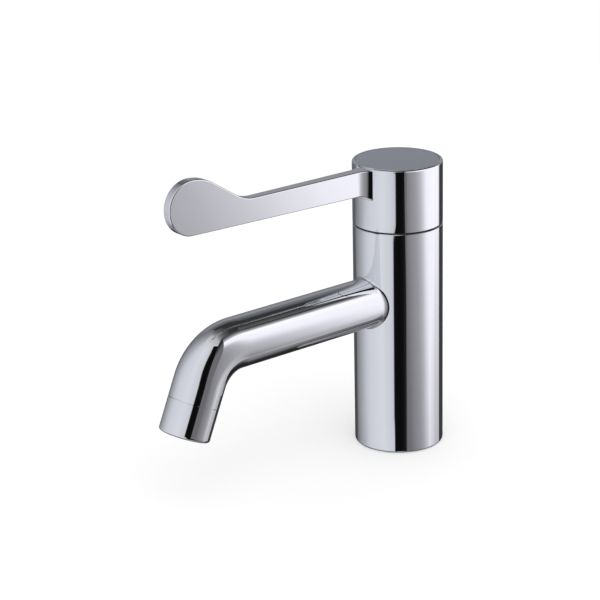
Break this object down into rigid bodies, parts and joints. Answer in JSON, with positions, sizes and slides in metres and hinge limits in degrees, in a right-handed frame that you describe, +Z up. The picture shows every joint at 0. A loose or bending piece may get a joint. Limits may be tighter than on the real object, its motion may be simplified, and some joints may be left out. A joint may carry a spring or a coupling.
{
  "type": "basin tap",
  "caption": "Basin tap with a round column, a fixed spout bent down to an aerator sleeve, and a cap on top that is turned by a long paddle lever.",
  "frame": {"origin": "centre of the base face, on the surface that the tap stands on", "axes": "+Z up along the column, -Y along the spout towards the user, +X to the user's right"},
  "size_m": [0.045, 0.1703, 0.1634],
  "materials": {
    "chrome": "polished chrome plate on brass",
    "satin_cover": "satin grey",
    "brass": "turned, unplated",
    "steel": "stainless",
    "black_plastic": "fine matt",
    "white_plastic": "moulded",
    "grey_plastic": "moulded",
    "rubber": "matt",
    "ceramic": "lapped"
  },
  "bodies": {
    "tap_body": {"column_shell": "chrome", "valve_core": "brass", "core_o_rings": "rubber", "base_gasket": "rubber", "spout_tube": "chrome", "nozzle_sleeve": "chrome", "aerator_washer": "rubber", "aerator_housing": "white_plastic", "flow_regulator": "grey_plastic", "aerator_screens": "steel", "outlet_grid": "grey_plastic", "cartridge_base": "white_plastic", "cartridge_port_seals": "rubber", "fixed_ceramic_disc": "ceramic", "cartridge_housing": "white_plastic", "cartridge_nut": "brass", "stop_ring": "grey_plastic", "glide_ring": "black_plastic"},
    "handle": {"moving_ceramic_disc": "ceramic", "disc_driver": "white_plastic", "cartridge_stem": "brass", "stem_o_rings": "rubber", "spline_adapter": "white_plastic", "handle_cap": "chrome", "lever": "chrome", "lever_screws": "steel", "top_cover": "satin_cover", "handle_washer": "steel", "handle_screw": "steel"}
  },
  "joints": [
    {"name": "handle_turn", "type": "hinge", "parent": "tap_body", "child": "handle", "pos_m": [0, 0, 0.116], "axis": [0, 0, 1], "range_deg": [0, 110]}
  ]
}
